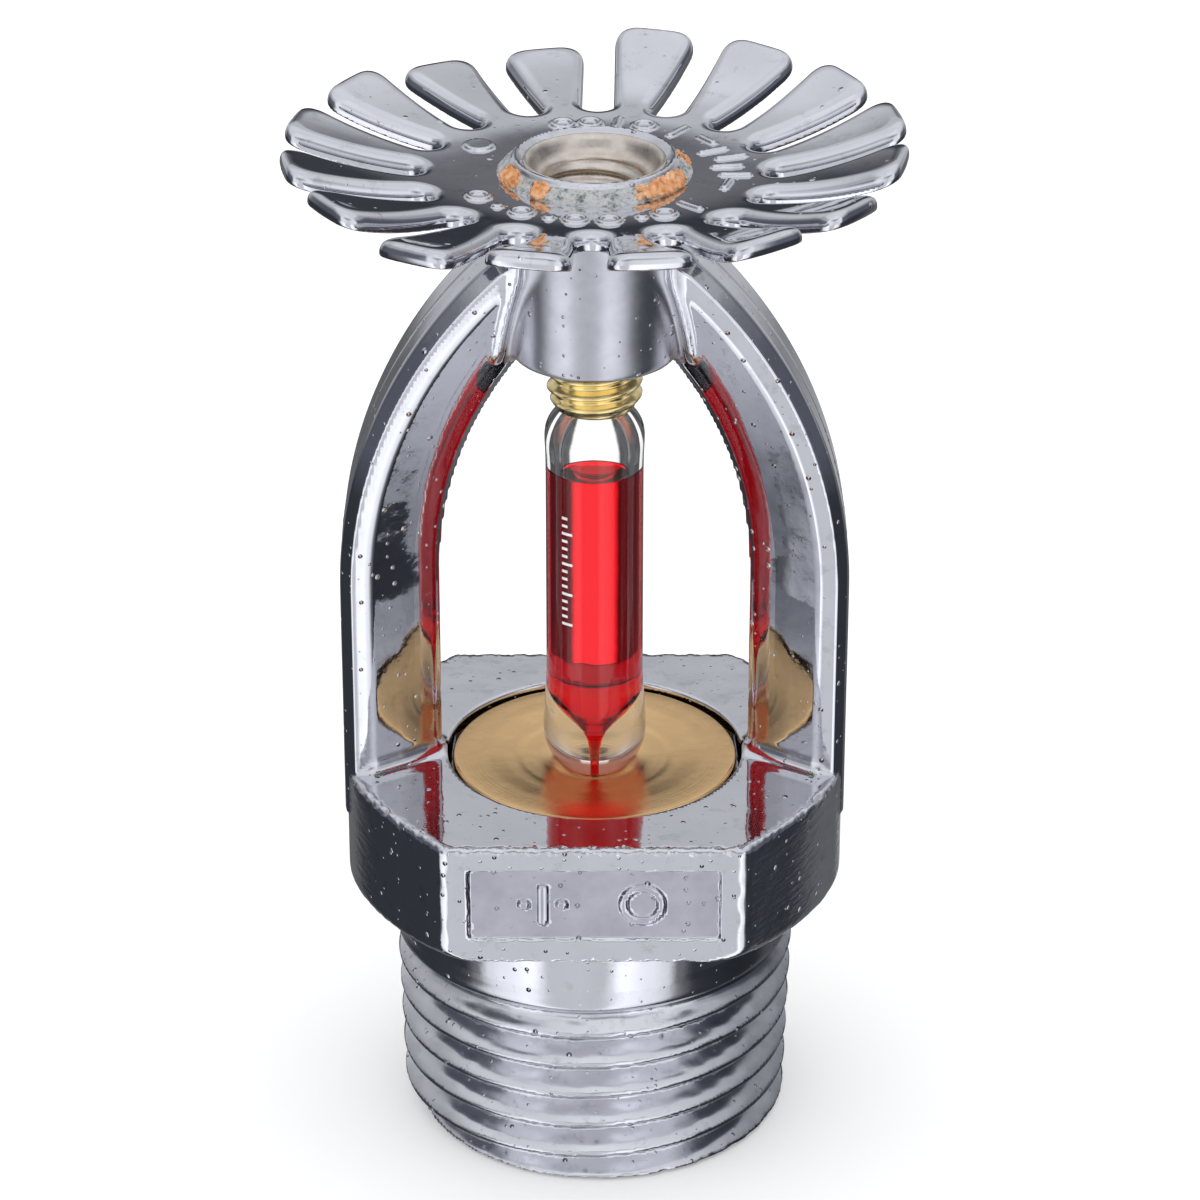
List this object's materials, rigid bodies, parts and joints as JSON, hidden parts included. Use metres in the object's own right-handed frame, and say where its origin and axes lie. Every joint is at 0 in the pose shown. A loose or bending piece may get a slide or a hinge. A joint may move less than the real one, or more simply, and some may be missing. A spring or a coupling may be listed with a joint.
{
  "type": "fire sprinkler head",
  "caption": "Pendent glass-bulb fire sprinkler head: tapered pipe thread, hexagonal wrench boss, two-arm yoke, red liquid bulb held by a screw, and a toothed round deflector.",
  "frame": {"origin": "centre of the inlet thread's end face, which is the lowest point as stored, on the water axis", "axes": "+Z along the water axis from the inlet to the deflector, -Y to the wrench flat with the sunk panel, +X to the viewer's right when facing that flat"},
  "size_m": [0.0306, 0.0306, 0.0542],
  "materials": {
    "chrome_body": "bright chrome plate over cast brass",
    "chrome_plate": "bright chrome plate over pressed brass sheet",
    "screw_brass": "bare turned brass",
    "bulb_glass": "clear, fire polished",
    "red_liquid": "clear red liquid, stood in for by a solid",
    "turned_brass": "bare brass with fine turning rings",
    "spring_steel": "plain spring steel",
    "ptfe_film": "PTFE film"
  },
  "bodies": {
    "frame_body": {"frame": "chrome_body", "deflector": "chrome_plate"},
    "bulb_body": {"bulb_glass": "bulb_glass", "bulb_liquid": "red_liquid"},
    "screw_body": {"load_screw": "screw_brass"},
    "valve_body": {"button": "turned_brass", "belleville_spring": "spring_steel", "seal_film_upper": "ptfe_film", "seal_film_lower": "ptfe_film"}
  },
  "joints": [
    {"name": "bulb_lift", "type": "slide", "parent": "frame_body", "child": "bulb_body", "axis": [0, 0, 1], "range_m": [0, 0.0032]},
    {"name": "load_screw_turn", "type": "hinge", "parent": "bulb_body", "child": "screw_body", "pos_m": [0, 0, 0.0424], "axis": [0, 0, 1], "range_deg": [0, 1440]},
    {"name": "valve_lift", "type": "slide", "parent": "frame_body", "child": "valve_body", "axis": [0, 0, 1], "range_m": [0, 0.0032]}
  ],
  "couplings": [
    {"joint": "load_screw_turn", "follows": "bulb_lift", "rad_per_m": 7854},
    {"joint": "valve_lift", "follows": "bulb_lift", "ratio": 1}
  ]
}
